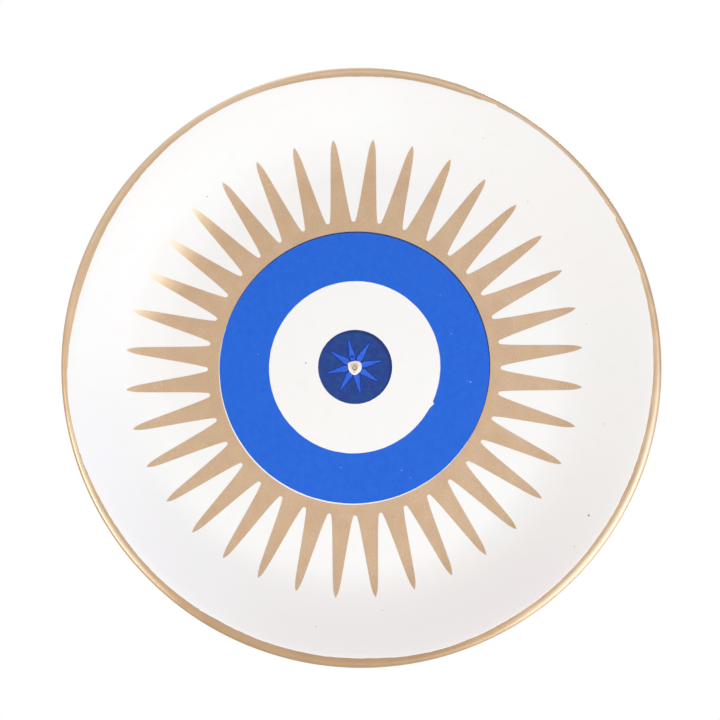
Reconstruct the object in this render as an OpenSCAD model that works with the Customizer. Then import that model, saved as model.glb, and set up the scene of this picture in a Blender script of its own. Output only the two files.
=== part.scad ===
// Evil eye wall plate. A shallow dish is pressed from steel sheet, its edge is rolled over a wire,
// and the hollow side is enamelled white and printed with a sunburst round an eye. One blind
// rivet through the pupil holds a hanger strap on the back, and a D-shaped ring swings in the
// strap's knuckle. Four rubber pads keep the back off the wall.
//
// The hollow side faces -Y and +Z is up. The origin is the middle of the plate's overall box.
// Every module draws its piece as seen from the front: x to the right, y up, z to the viewer.

/* [Dish] */
// Overall diameter, over the rolled rim
plate_d = 300; // [290:5:330]
// Diameter of the flat middle
flat_d = 190; // [186:2:200]
// Inside radius of the curve between the flat middle and the slope
corner_r = 90; // [70:5:90]
// Rise of the outer part for every 24 mm across
slope_rise = 7; // [5:1:8]
// Thickness of the steel sheet
sheet_t = 0.8; // [0.6:0.1:1]
// Outside diameter of the rolled rim
roll_d = 4; // [3.6:0.2:5]
// How far the white coat stops short of the plate's edge
bare_rim_w = 4.2; // [3.6:0.1:8]

/* [Enamel] */
// Thickness of the white coat
coat_t = 0.4; // [0.3:0.1:0.6]
// Thickness of each printed colour
print_t = 0.2; // [0.1:0.05:0.3]
// How far the prints and the rivet sit to the left of the plate's middle
eye_left = 3.3; // [0:0.1:5]
// How far the gold print is out of register with the eye
misregister = 0.5; // [0:0.1:1.2]
// Direction of that error, in degrees from the right
misregister_angle = 240; // [0:5:355]

/* [Eye] */
// Diameter of the blue ring, and of the hole in the sunburst
iris_d = 136; // [130:1:140]
// Diameter of the white of the eye
white_d = 86; // [70:1:100]
// Diameter of the pupil
pupil_d = 37; // [32:1:44]
// Number of points on the star
star_points = 8; // [5:1:10]
// Radius to the star's tips
star_r = 13.75; // [12:0.25:15]
// Radius to the notches between its points
star_notch_r = 5.75; // [5:0.25:7]
// Width of each of its cut-off tips
star_tip_w = 0.8; // [0.4:0.1:1.2]
// Direction of its first point, in degrees from the right
star_turn = 12.3; // [0:0.1:45]

/* [Sunburst] */
// Number of rays
ray_count = 36; // [24:1:40]
// Radius to the rays' tips
ray_tip_r = 115; // [105:1:118]
// Radius to the valleys between them
ray_valley_r = 73.5; // [72:0.5:76]
// Direction of the first ray, in degrees from the right
ray_turn = 5.3; // [0:0.1:10]

/* [Hanger] */
// Diameter of the rivet's shank
rivet_d = 3.2; // [3:0.1:4]
// Diameter of the rivet's flange
flange_d = 6.4; // [6:0.1:8]
// Width of the hanger strap
strap_w = 14; // [12:1:18]
// Thickness of the hanger strap
strap_t = 1.2; // [1:0.1:1.5]
// Height of the ring's axis above the rivet
knuckle_h = 66; // [50:1:70]
// Diameter of the ring's wire
ring_wire_d = 2.4; // [2:0.1:2.8]
// Width of the ring over the middle of its wire
ring_w = 26; // [24:1:30]
// Straight length of the ring's arms
ring_arm = 4; // [2:0.5:8]
// Diameter of a bumper pad where it sticks to the plate
pad_d = 16; // [12:1:20]
// Height of a bumper pad
pad_h = 8; // [7.8:0.1:10]

/* [Hidden] */
$fn = 96;

// Colours
LACQUER = [0.80, 0.67, 0.50];
WHITE = [0.98, 0.97, 0.95];
GOLD = [0.80, 0.68, 0.56];
BLUE = [0.19, 0.41, 0.86];
NAVY = [0.19, 0.29, 0.56];
STAR_BLUE = [0.24, 0.43, 0.88];
RIVET = [0.85, 0.78, 0.68];
STEEL = [0.62, 0.64, 0.65];
RUBBER = [0.16, 0.16, 0.17];

// The rolled rim: middle of the roll, and where the slope's front face meets it
slope = atan2(slope_rise, 24);
roll_r = roll_d / 2;
wire_r = roll_r - sheet_t - 0.1;
roll_x = plate_d / 2 - roll_r;
meet_x = roll_x - roll_r * sin(slope);
flat_r = flat_d / 2;
bend_x = flat_r + corner_r * sin(slope);
bend_rise = corner_r * (1 - cos(slope));
slope_len = (meet_x - bend_x) / cos(slope);
meet_rise = bend_rise + slope_len * sin(slope);
roll_rise = meet_rise - roll_r * cos(slope);
roll_end = 190;
plate_depth = sheet_t + roll_rise + roll_r;

// Heights along z, from the wall outwards
overall_depth = pad_h + plate_depth;
wall_z = -overall_depth / 2;
back_z = wall_z + pad_h;
front_z = back_z + sheet_t;
coat_z = front_z + coat_t;
print_z = coat_z + print_t;

// Shift of the gold print
shift_x = misregister * cos(misregister_angle);
shift_y = misregister * sin(misregister_angle);

// Outline of a ray: width of its round tip, taper along it and flare into the valley
ray_len = ray_tip_r - ray_valley_r;
ray_pitch = 360 / ray_count;
ray_steps = 9;
tip_w = 2.6;
tip_round = 3.2;
taper = 0.18;
flare_w = 1.1;
flare_len = 3.5;

// Rivet
flange_t = 1;
shank_r = rivet_d / 2;
hole_r = shank_r + 0.05;
pin_r = 0.9;
pin_hole_r = pin_r + 0.05;
mouth_r = 1.25;
mouth_depth = 0.45;
pin_sunk = 0.25;
washer_d = 9;
washer_t = 1;
blind_z = back_z - strap_t - washer_t;
bulge_r = 0.9;
blind_len = 3;
pin_head_r = 1.4;

// Knuckle and ring
ring_wire_r = ring_wire_d / 2;
knuckle_in_r = ring_wire_r + 0.1;
knuckle_r = knuckle_in_r + strap_t;
knuckle_z = back_z - knuckle_r;
knuckle_end = 170;
ring_bend_r = 3;
ring_half_w = ring_w / 2;

// Pads
pad_count = 4;
pad_ring_r = 70;
pad_edge_r = 1.5;
pad_top_r = pad_d / 2 - 1;

// Points round the sunburst
function ray_half_w(s) =
    (tip_w * (1 - exp(-s / tip_round)) + taper * s + flare_w * exp((s - ray_len) / flare_len)) / 2;
function ray_s(i) = ray_len * (1 - cos(180 * i / ray_steps)) / 2;
function ray_point(i, side) = [ray_tip_r - ray_s(i), side * ray_half_w(ray_s(i))];
function turned(p, a) = [p.x * cos(a) - p.y * sin(a), p.x * sin(a) + p.y * cos(a)];
function ray_outline(a) = concat(
    [turned([ray_valley_r, 0], a - ray_pitch / 2)],
    [for (i = [ray_steps - 1:-1:1]) turned(ray_point(i, -1), a)],
    [turned([ray_tip_r, 0], a)],
    [for (i = [1:ray_steps - 1]) turned(ray_point(i, 1), a)]
);
function star_outline(a) = [
    turned([star_notch_r, 0], a - 180 / star_points),
    turned([star_r, -star_tip_w / 2], a),
    turned([star_r, star_tip_w / 2], a)
];

// Everything is drawn facing the viewer and stood up at the end
module stood_up() {
    rotate([90, 0, 0])
        children();
}

module at_eye() {
    translate([-eye_left, 0, 0])
        children();
}

module rivet_hole() {
    at_eye()
        cylinder(h = 2 * overall_depth, r = hole_r, center = true);
}

// Pie slice with its point at the origin, from angle a0 to a1, less than 180 degrees
module slice(size, a0, a1) {
    mid = (a0 + a1) / 2;
    polygon([
        [0, 0],
        size * [cos(a0), sin(a0)],
        1.5 * size * [cos(mid), sin(mid)],
        size * [cos(a1), sin(a1)]
    ]);
}

// Section of a layer that follows the dish, from height low to high over the sheet's front face
module layer_section(low, high) {
    thick = high - low;
    translate([0, front_z + low])
        square([flat_r, thick]);
    translate([flat_r, front_z + corner_r])
        intersection() {
            difference() {
                circle(r = corner_r - low);
                circle(r = corner_r - high);
            }
            slice(2 * corner_r, -90, slope - 90);
        }
    translate([bend_x, front_z + bend_rise])
        rotate(slope)
            translate([0, low])
                square([slope_len, thick]);
}

module roll_section() {
    translate([roll_x, front_z + roll_rise])
        difference() {
            circle(r = roll_r);
            circle(r = roll_r - sheet_t);
            slice(roll_d, 90 + slope, roll_end);
        }
}

module dish() {
    color(LACQUER)
        difference() {
            rotate_extrude()
                union() {
                    layer_section(-sheet_t, 0);
                    roll_section();
                }
            rivet_hole();
        }
}

module rim_wire() {
    color(STEEL)
        rotate_extrude()
            translate([roll_x, front_z + roll_rise])
                circle(r = wire_r);
}

module white_enamel() {
    color(WHITE)
        difference() {
            rotate_extrude()
                intersection() {
                    layer_section(0, coat_t);
                    translate([0, wall_z])
                        square([plate_d / 2 - bare_rim_w, 2 * overall_depth]);
                }
            rivet_hole();
        }
}

module sunburst_outline() {
    polygon([for (k = [0:ray_count - 1]) each ray_outline(ray_turn + k * ray_pitch)]);
}

// The gold follows the dish's curve, and stops where the blue print lies over it
module gold_sunburst() {
    color(GOLD)
        difference() {
            intersection() {
                rotate_extrude()
                    layer_section(coat_t, coat_t + print_t);
                at_eye()
                    translate([shift_x, shift_y, back_z])
                        linear_extrude(height = overall_depth)
                            difference() {
                                sunburst_outline();
                                circle(d = iris_d);
                            }
            }
            at_eye()
                translate([0, 0, wall_z])
                    cylinder(h = 2 * overall_depth, d = iris_d);
        }
}

module blue_ring() {
    color(BLUE)
        at_eye()
            translate([0, 0, coat_z])
                linear_extrude(height = print_t)
                    difference() {
                        circle(d = iris_d);
                        circle(d = white_d);
                    }
}

module star_shape() {
    polygon([for (k = [0:star_points - 1]) each star_outline(star_turn + k * 360 / star_points)]);
}

module pupil() {
    color(NAVY)
        at_eye()
            translate([0, 0, coat_z])
                linear_extrude(height = print_t)
                    difference() {
                        circle(d = pupil_d);
                        star_shape();
                    }
}

module star() {
    color(STAR_BLUE)
        at_eye()
            translate([0, 0, coat_z])
                linear_extrude(height = print_t)
                    difference() {
                        star_shape();
                        circle(r = hole_r);
                    }
}

// Domed flange on the print, and a shank that bulges out behind the washer
module rivet_body() {
    flange_r = flange_d / 2;
    dome = flange_t - 0.25;
    dome_r = (flange_r * flange_r + dome * dome) / (2 * dome);
    color(RIVET)
        at_eye()
            rotate_extrude()
                difference() {
                    union() {
                        intersection() {
                            translate([0, print_z + flange_t - dome_r])
                                circle(r = dome_r, $fn = 192);
                            translate([0, print_z])
                                square([flange_r, flange_t]);
                        }
                        translate([0, blind_z - blind_len])
                            square([shank_r, print_z - blind_z + blind_len]);
                        translate([shank_r, blind_z - bulge_r])
                            circle(r = bulge_r);
                    }
                    translate([-flange_r, blind_z - 2 * blind_len])
                        square([flange_r + pin_hole_r, overall_depth]);
                    translate([-flange_r, print_z + flange_t - mouth_depth])
                        square([flange_r + mouth_r, flange_t]);
                }
}

// Broken-off pin with its round head behind the shank's end
module rivet_mandrel() {
    pin_top = print_z + flange_t - pin_sunk;
    shank_end = blind_z - blind_len;
    color(STEEL)
        at_eye()
            union() {
                translate([0, 0, shank_end])
                    cylinder(h = pin_top - shank_end, r = pin_r);
                intersection() {
                    translate([0, 0, shank_end])
                        sphere(r = pin_head_r);
                    translate([0, 0, shank_end - flange_d])
                        cylinder(h = flange_d, r = flange_d);
                }
            }
}

module backing_washer() {
    color(STEEL)
        at_eye()
            translate([0, 0, blind_z])
                difference() {
                    cylinder(h = washer_t, d = washer_d);
                    translate([0, 0, -washer_t])
                        cylinder(h = 3 * washer_t, r = hole_r);
                }
}

// Side view of the strap, x along its length and y to the front
module strap_section() {
    translate([-strap_w, back_z - strap_t])
        square([knuckle_h + strap_w, strap_t]);
    translate([knuckle_h, knuckle_z])
        difference() {
            circle(r = knuckle_r);
            circle(r = knuckle_in_r);
            slice(3 * knuckle_r, 90, knuckle_end);
        }
}

module strap_outline() {
    circle(d = strap_w);
    translate([-strap_w / 2, 0])
        square([strap_w, knuckle_h + 2 * knuckle_r]);
}

module hanger_strap() {
    color(STEEL)
        difference() {
            at_eye()
                intersection() {
                    rotate([90, 0, 90])
                        linear_extrude(height = 2 * strap_w, center = true)
                            strap_section();
                    translate([0, 0, wall_z])
                        linear_extrude(height = overall_depth)
                            strap_outline();
                }
            rivet_hole();
        }
}

// One bent corner of the ring's wire
module ring_corner() {
    translate([ring_half_w - ring_bend_r, -ring_bend_r, 0])
        rotate_extrude(angle = 90)
            translate([ring_bend_r, 0])
                circle(r = ring_wire_r, $fn = 48);
}

module ring_arm() {
    translate([ring_half_w, -ring_bend_r, 0])
        rotate([90, 0, 0])
            cylinder(h = ring_arm, r = ring_wire_r, $fn = 48);
}

// Stored hanging down from the knuckle
module hanging_ring() {
    leg = 2 * (ring_half_w - ring_bend_r);
    color(STEEL)
        at_eye()
            translate([0, knuckle_h, knuckle_z])
                union() {
                    rotate([0, 90, 0])
                        cylinder(h = leg, r = ring_wire_r, center = true, $fn = 48);
                    ring_corner();
                    ring_arm();
                    mirror([1, 0, 0])
                        ring_corner();
                    mirror([1, 0, 0])
                        ring_arm();
                    translate([0, -ring_bend_r - ring_arm, 0])
                        rotate([0, 0, 180])
                            rotate_extrude(angle = 180)
                                translate([ring_half_w, 0])
                                    circle(r = ring_wire_r, $fn = 48);
                }
}

module bumper_pad() {
    rotate_extrude()
        union() {
            square([pad_top_r - pad_edge_r, pad_h]);
            translate([0, pad_edge_r])
                square([pad_top_r, pad_h - pad_edge_r]);
            translate([pad_top_r - pad_edge_r, pad_edge_r])
                circle(r = pad_edge_r);
            polygon([
                [pad_top_r, pad_edge_r],
                [pad_d / 2, pad_h],
                [pad_top_r, pad_h]
            ]);
        }
}

module bumper_pads() {
    color(RUBBER)
        for (k = [0:pad_count - 1])
            rotate((k + 0.5) * 360 / pad_count)
                translate([pad_ring_r, 0, wall_z])
                    bumper_pad();
}

stood_up() {
    dish();
    rim_wire();
    white_enamel();
    gold_sunburst();
    blue_ring();
    pupil();
    star();
    rivet_body();
    rivet_mandrel();
    backing_washer();
    hanger_strap();
    hanging_ring();
    bumper_pads();
}
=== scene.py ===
"""Looks of the evil eye wall plate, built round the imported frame.

Shapes are worked out in millimetres as seen from the front: x to the right, y up and z to the
viewer, which is the way part.scad draws them. add_mesh() turns them into the frame's metres.
"""

import math

import bpy
import numpy as np
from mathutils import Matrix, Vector


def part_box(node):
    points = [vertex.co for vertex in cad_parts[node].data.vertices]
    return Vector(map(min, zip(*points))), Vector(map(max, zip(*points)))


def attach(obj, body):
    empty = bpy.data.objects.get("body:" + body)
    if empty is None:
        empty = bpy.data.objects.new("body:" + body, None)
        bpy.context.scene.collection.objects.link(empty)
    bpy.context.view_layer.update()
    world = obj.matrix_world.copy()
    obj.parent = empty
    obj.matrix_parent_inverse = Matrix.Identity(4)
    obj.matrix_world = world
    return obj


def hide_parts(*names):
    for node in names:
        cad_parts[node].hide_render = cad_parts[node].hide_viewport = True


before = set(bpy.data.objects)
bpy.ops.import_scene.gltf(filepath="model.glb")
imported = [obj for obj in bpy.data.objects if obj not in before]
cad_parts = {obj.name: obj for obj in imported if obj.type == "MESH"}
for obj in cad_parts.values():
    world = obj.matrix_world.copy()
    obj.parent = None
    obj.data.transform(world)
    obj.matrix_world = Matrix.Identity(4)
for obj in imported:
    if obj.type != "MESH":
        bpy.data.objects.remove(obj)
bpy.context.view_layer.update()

MM = 0.001
TURN = 2 * math.pi


def cad_box(node):
    """Lowest and highest corner of a CAD node in millimetres, as seen from the front."""
    low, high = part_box(node)
    return (
        np.array([low.x, low.z, -high.y]) / MM,
        np.array([high.x, high.z, -low.y]) / MM,
    )


# Places and sizes that the frame gives
PUPIL_LOW, PUPIL_HIGH = cad_box("pupil")
STRAP_LOW, STRAP_HIGH = cad_box("hanger_strap")
WASHER_LOW, WASHER_HIGH = cad_box("backing_washer")
WALL_Z = cad_box("bumper_pads")[0][2]

PLATE_R = 150.0
EYE_X = (PUPIL_LOW[0] + PUPIL_HIGH[0]) / 2
BACK_Z = cad_box("dish")[0][2]

# The pressed sheet, repeated from the design
SHEET_T = 0.8
FLAT_R = 95.0
CORNER_R = 90.0
SLOPE = math.atan2(7, 24)
ROLL_R = 2.0
ROLL_WRAP = math.radians(190)
FRONT_Z = BACK_Z + SHEET_T
BEND_R = FLAT_R + CORNER_R * math.sin(SLOPE)
BEND_RISE = CORNER_R * (1 - math.cos(SLOPE))
ROLL_X = PLATE_R - ROLL_R
MEET_R = ROLL_X - ROLL_R * math.sin(SLOPE)
MEET_RISE = BEND_RISE + (MEET_R - BEND_R) * math.tan(SLOPE)
ROLL_Z = FRONT_Z + MEET_RISE - ROLL_R * math.cos(SLOPE)

# Layers over the sheet
COAT_T = 0.4
INK_T = 0.05
INK_SUNK = 0.03
HOLE_R = 1.65


def tilt(r):
    """Slope angle of the sheet at radius r."""
    return np.arcsin(np.clip((r - FLAT_R) / CORNER_R, 0, math.sin(SLOPE)))


def rise(r):
    """Height of the sheet's front face over its flat middle at radius r."""
    curve = CORNER_R * (1 - np.cos(tilt(r)))
    return curve + np.maximum(r - BEND_R, 0) * math.tan(SLOPE)


def press_wave(x, y):
    """Faint unevenness of the hand-finished sheet. It dies out at the rim and under the rivet."""
    r = np.hypot(x, y)
    fade = np.clip((135 - r) / 40, 0, 1) * np.clip((r - 20) / 40, 0, 1)
    return 0.05 * fade * np.sin(x / 15.5 + 1.3) * np.cos(y / 13.2 + 0.4)


def surface_z(x, y, lift):
    """Height of a layer whose top lies lift over the sheet's front face."""
    r = np.hypot(x, y)
    return FRONT_Z + rise(r) + lift / np.cos(tilt(r)) + press_wave(x, y)


def circle_angles(count):
    """Evenly spaced angles once round a circle."""
    return np.arange(count) * TURN / count


def ragged(angles, reach, seed, waves=range(7, 60)):
    """Smooth random wander round a closed outline, at most reach either way."""
    random = np.random.default_rng(seed)
    total = np.zeros_like(angles)
    for n in waves:
        total += random.normal() * np.cos(n * angles + random.uniform(0, TURN)) / math.sqrt(n)
    return total * reach / np.abs(total).max()


def add_mesh(name, points, faces, sharp=35):
    """Makes a smooth-shaded object from points in millimetres, with edges over sharp degrees."""
    points = np.asarray(points, float).reshape(-1, 3)
    mesh = bpy.data.meshes.new(name)
    world = np.column_stack([points[:, 0], -points[:, 2], points[:, 1]]) * MM
    mesh.from_pydata(world.tolist(), [], faces)
    mesh.update()
    mesh.polygons.foreach_set("use_smooth", [True] * len(mesh.polygons))
    mesh.set_sharp_from_angle(angle=math.radians(sharp))
    piece = bpy.data.objects.new(name, mesh)
    bpy.context.scene.collection.objects.link(piece)
    return piece


def grid_quads(rows, columns, first=0, row_loop=False, column_loop=False):
    """Quads over a grid of points, closed on itself along rows, columns or both."""
    quads = []
    for i in range(rows if row_loop else rows - 1):
        a, b = first + i * columns, first + (i + 1) % rows * columns
        for j in range(columns if column_loop else columns - 1):
            k = (j + 1) % columns
            quads.append((a + j, b + j, b + k, a + k))
    return quads


def loft(name, rings, joined=False, capped=False, sharp=35):
    """Skins equal closed rings. joined also skins the last to the first, capped fans the ends."""
    rings = np.asarray(rings, float)
    rows, columns = rings.shape[:2]
    points = rings.reshape(-1, 3)
    faces = grid_quads(rows, columns, row_loop=joined, column_loop=True)
    if capped:
        middles = [rings[0].mean(axis=0), rings[-1].mean(axis=0)]
        first, last = len(points), len(points) + 1
        points = np.vstack([points, middles])
        end = (rows - 1) * columns
        for j in range(columns):
            k = (j + 1) % columns
            faces.append((first, j, k))
            faces.append((last, end + k, end + j))
    return add_mesh(name, points, faces, sharp)


def polar(angles, radii, centre=(0.0, 0.0)):
    """Points (x, y) at these angles and radii round centre."""
    return np.column_stack([centre[0] + radii * np.cos(angles), centre[1] + radii * np.sin(angles)])


def level_ring(angles, radii, centre, z):
    """Closed ring of points round centre, all at height z."""
    return np.column_stack([polar(angles, radii, centre), np.full(len(angles), z)])


def revolve(name, profile, centre, count=96):
    """Turns a profile of (radius, z) round a line that faces the viewer through centre."""
    angles = circle_angles(count)
    return loft(name, [level_ring(angles, r, centre, z) for r, z in profile], joined=True)


def arc(middle, radius, start, end, steps):
    """Points on an arc, from start to end in degrees."""
    angles = np.radians(np.linspace(start, end, steps))
    return [(middle[0] + radius * math.cos(a), middle[1] + radius * math.sin(a)) for a in angles]


def ink_ring(name, inner, outer, rows, top=COAT_T + INK_T, base=COAT_T - INK_SUNK):
    """A thin closed layer of ink between two outlines of equal length, laid on the surface."""
    shares = np.linspace(0, 1, rows)
    flat = [inner * (1 - t) + outer * t for t in shares]
    over = [np.column_stack([p, surface_z(p[:, 0], p[:, 1], top)]) for p in flat]
    under = [np.column_stack([p, surface_z(p[:, 0], p[:, 1], base)]) for p in flat[::-1]]
    return loft(name, over + under, joined=True)


def ink_patches(name, patches, top, base=COAT_T - INK_SUNK):
    """Thin closed patches of ink. Each is a grid of (x, y) points, rows by columns."""
    points, faces = [], []
    for patch in patches:
        patch = np.asarray(patch, float)
        rows, columns = patch.shape[:2]
        flat = patch.reshape(-1, 2)
        first = len(points)
        size = rows * columns
        for lift in (top, base):
            z = surface_z(flat[:, 0], flat[:, 1], lift)
            points.extend(np.column_stack([flat, z]))
        faces.extend(grid_quads(rows, columns, first))
        faces.extend(q[::-1] for q in grid_quads(rows, columns, first + size))
        edge = (
            list(range(columns))
            + [i * columns + columns - 1 for i in range(1, rows)]
            + [(rows - 1) * columns + j for j in range(columns - 2, -1, -1)]
            + [i * columns for i in range(rows - 2, 0, -1)]
        )
        for a, b in zip(edge, edge[1:] + edge[:1]):
            faces.append((first + a, first + b, first + size + b, first + size + a))
    return add_mesh(name, points, faces)


# ---------------------------------------------------------------------------------------------
# Materials
# ---------------------------------------------------------------------------------------------


def srgb(red, green, blue):
    """A colour on the 0 to 255 scale, as the linear values that shaders take."""
    parts = [c / 255 for c in (red, green, blue)]
    linear = [c / 12.92 if c <= 0.04045 else ((c + 0.055) / 1.055) ** 2.4 for c in parts]
    return (*linear, 1.0)


# Where the rim lies along the frame's Y, roughly, in millimetres
RIM_Y = -9


class Finish:
    """A procedural material. Its patterns are sized in millimetres over the object's frame."""

    def __init__(self, name, specular=0.5):
        self.material = bpy.data.materials.new(name)
        self.material.use_nodes = True
        self.tree = self.material.node_tree
        self.shader = self.tree.nodes["Principled BSDF"]
        self.shader.inputs["Specular IOR Level"].default_value = specular
        place = self.tree.nodes.new("ShaderNodeTexCoord")
        self.where = self.math_vector("SCALE", place.outputs["Object"], scale=1 / MM)

    def link(self, value, socket):
        """Feeds a socket from an output, or sets it to a number or colour."""
        if isinstance(value, bpy.types.NodeSocket):
            self.tree.links.new(value, socket)
        else:
            socket.default_value = value

    def math_vector(self, operation, first, second=None, scale=None):
        """A vector sum or product, or a distance, which is a plain number."""
        node = self.tree.nodes.new("ShaderNodeVectorMath")
        node.operation = operation
        self.link(first, node.inputs[0])
        if second is not None:
            self.link(second, node.inputs[1])
        if scale is not None:
            node.inputs["Scale"].default_value = scale
        return node.outputs["Value" if operation == "DISTANCE" else "Vector"]

    def math(self, operation, first, second):
        node = self.tree.nodes.new("ShaderNodeMath")
        node.operation = operation
        self.link(first, node.inputs[0])
        self.link(second, node.inputs[1])
        return node.outputs[0]

    def product(self, first, second):
        return self.math("MULTIPLY", first, second)

    def near(self, x, z, y=RIM_Y):
        """Distance in millimetres from a point that is given in the frame's own directions."""
        return self.math_vector("DISTANCE", self.where, (x, y, z))

    def from_axis(self, x, z):
        """Distance in millimetres from the line that runs front to back through (x, z)."""
        across = self.math_vector("MULTIPLY", self.where, (1, 0, 1))
        return self.math_vector("DISTANCE", across, (x, 0, z))

    def noise(self, size, detail=2.0, stretch=(1, 1, 1), seed=0.0, rough=0.5):
        """Cloudy pattern with features about size across, from 0 to 1."""
        moved = self.math_vector("ADD", self.where, (seed * 37.0, seed * 11.0, seed * 23.0))
        squeezed = self.math_vector("DIVIDE", moved, tuple(size * s for s in stretch))
        node = self.tree.nodes.new("ShaderNodeTexNoise")
        node.inputs["Scale"].default_value = 1.0
        node.inputs["Detail"].default_value = detail
        node.inputs["Roughness"].default_value = rough
        self.link(squeezed, node.inputs["Vector"])
        return node.outputs[0]

    def spots(self, spacing, size, share=1.0, seed=0.0):
        """Round spots up to size across, one in each cell, on a share of the cells. 1 inside."""
        moved = self.math_vector("ADD", self.where, (seed * 19.0, seed * 7.0, seed * 29.0))
        node = self.tree.nodes.new("ShaderNodeTexVoronoi")
        node.inputs["Scale"].default_value = 1 / spacing
        self.link(moved, node.inputs["Vector"])
        reach = size / spacing / 2
        inside = self.spread(node.outputs["Distance"], reach, reach * 0.5)
        split = self.tree.nodes.new("ShaderNodeSeparateColor")
        self.link(node.outputs["Color"], split.inputs[0])
        return self.product(inside, self.math("LESS_THAN", split.outputs[0], share))

    def spread(self, value, low, high, to_low=0.0, to_high=1.0):
        """Maps low..high to to_low..to_high, and holds it there outside."""
        node = self.tree.nodes.new("ShaderNodeMapRange")
        self.link(value, node.inputs["Value"])
        node.inputs["From Min"].default_value = low
        node.inputs["From Max"].default_value = high
        node.inputs["To Min"].default_value = to_low
        node.inputs["To Max"].default_value = to_high
        return node.outputs["Result"]

    def mix(self, factor, first, second):
        """First colour where factor is 0, second where it is 1."""
        node = self.tree.nodes.new("ShaderNodeMix")
        node.data_type = "RGBA"
        self.link(factor, node.inputs["Factor"])
        self.link(first, node.inputs[6])
        self.link(second, node.inputs[7])
        return node.outputs[2]

    def paint(self, colour):
        self.link(colour, self.shader.inputs["Base Color"])

    def roughness(self, value):
        self.link(value, self.shader.inputs["Roughness"])

    def metal(self, value):
        self.link(value, self.shader.inputs["Metallic"])

    def bump(self, *layers):
        """Stacks relief. Each layer is (height pattern, full height in millimetres)."""
        normal = None
        for height, depth in layers:
            node = self.tree.nodes.new("ShaderNodeBump")
            node.inputs["Strength"].default_value = 1.0
            node.inputs["Distance"].default_value = depth * MM
            self.link(height, node.inputs["Height"])
            if normal is not None:
                self.link(normal, node.inputs["Normal"])
            normal = node.outputs["Normal"]
        self.link(normal, self.shader.inputs["Normal"])

    def on(self, piece):
        """Makes this the piece's only material."""
        piece.data.materials.clear()
        piece.data.materials.append(self.material)


# Painted highlights on the rim's crest: middle (x, z), how far along the rim each reaches, the
# radii at which it starts, is full and ends, and how strong it is
PAINTED_HIGHLIGHTS = (
    ((129.4, -71.8), 88, (146.6, 147.4, 148.8), 0.68),
    ((-131, -69.5), 62, (147.1, 147.8, 148.9), 0.6),
)


def gold_lacquer():
    """Tan gold lacquer on the steel: flake, cloudy tone, small stains and painted crest highlights.

    Painted shade darkens it at the bottom and on the inner side of the roll, and painted light
    makes the roll's outer side paler at the top.
    """
    f = Finish("gold_lacquer")
    cloud = f.noise(14, 3, seed=1)
    flake = f.noise(0.22, 2, seed=2)
    tone = f.mix(f.spread(cloud, 0.35, 0.65), srgb(216, 180, 142), srgb(226, 192, 154))
    tone = f.mix(f.spread(flake, 0.55, 0.75, 0, 0.35), tone, srgb(255, 234, 204))
    stain = f.product(f.spots(5, 0.9, 0.3, seed=3), f.spread(f.noise(9, seed=4), 0.5, 0.6))
    tone = f.mix(f.product(stain, 0.55), tone, srgb(120, 84, 50))
    # Painted shade: the lower part of the rim is darkened, where less light falls on it.
    painted_shade_low = f.spread(f.near(-20, -147), 105, 55, 0, 0.75)
    tone = f.mix(painted_shade_low, tone, srgb(186, 150, 112))
    radius = f.near(0, 0)
    top = f.spread(f.near(-40, 142), 190, 125, 0, 0.9)
    lower_left = f.spread(f.near(-105, -104), 100, 60, 0, 0.8)
    # Painted shade: the roll's inner side next to the white coat's edge is darkened at the top and
    # lower left.
    inside = f.product(f.math("MAXIMUM", top, lower_left), f.spread(radius, 147.8, 146.6))
    tone = f.mix(inside, tone, srgb(198, 165, 129))
    # Painted light: the roll's outer side at the top is made paler.
    outside = f.product(top, f.spread(radius, 147.6, 148.5))
    tone = f.mix(outside, tone, srgb(244, 216, 184))
    # Painted highlights: pale lines along the rim's crest at the lower right and lower left.
    for middle, reach, (start, full, end), strength in PAINTED_HIGHLIGHTS:
        patch = f.spread(f.near(*middle), reach, reach * 0.5, 0, strength)
        line = f.product(f.spread(radius, start, full), f.spread(radius, end, end - 0.5))
        tone = f.mix(f.product(patch, line), tone, srgb(255, 241, 214))
    f.paint(tone)
    f.metal(f.spread(flake, 0.3, 0.7, 0.35, 0.6))
    f.roughness(f.spread(cloud, 0.3, 0.7, 0.32, 0.42))
    f.bump((f.noise(1.4, 2, seed=5), 0.012), (flake, 0.003))
    return f


def white_enamel():
    """Glossy white enamel: faint warm and cool drift, soft orange peel, painted shade and light."""
    f = Finish("white_enamel")
    drift = f.noise(55, 2, seed=1)
    fine = f.noise(6, 3, seed=2)
    tone = f.mix(f.spread(drift, 0.4, 0.6), srgb(243, 240, 236), srgb(242, 241, 237))
    tone = f.mix(f.spread(fine, 0.55, 0.8, 0, 0.3), tone, srgb(237, 234, 229))
    slope = f.spread(f.near(0, 0, y=-3), 100, 132)
    # Painted shade: the lower part of the slope is made greyer, where less light falls on it.
    bottom = f.product(f.spread(f.near(35, -190), 180, 95, 0, 0.9), slope)
    tone = f.mix(bottom, tone, srgb(238, 233, 231))
    # Painted light: the slope at the lower left gets a faint cool tint, as from a cool lamp.
    left = f.product(f.spread(f.near(-165, -95), 120, 60, 0, 0.6), slope)
    tone = f.mix(left, tone, srgb(241, 239, 241))
    dust = f.spots(11, 0.5, 0.12, seed=3)
    tone = f.mix(f.product(dust, 0.22), tone, srgb(150, 140, 128))
    f.paint(tone)
    f.roughness(f.spread(fine, 0.35, 0.7, 0.13, 0.2))
    f.bump((f.noise(22, 1, seed=4), 0.05), (f.noise(3.2, 2, seed=5), 0.0025))
    return f


# A painted highlight pales the gold at the upper left tips. Its middle lies beyond them, this
# far from the middle of the eye and in this direction
PAINTED_GLARE_FAR = 260
PAINTED_GLARE_WAY = math.radians(150)


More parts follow.
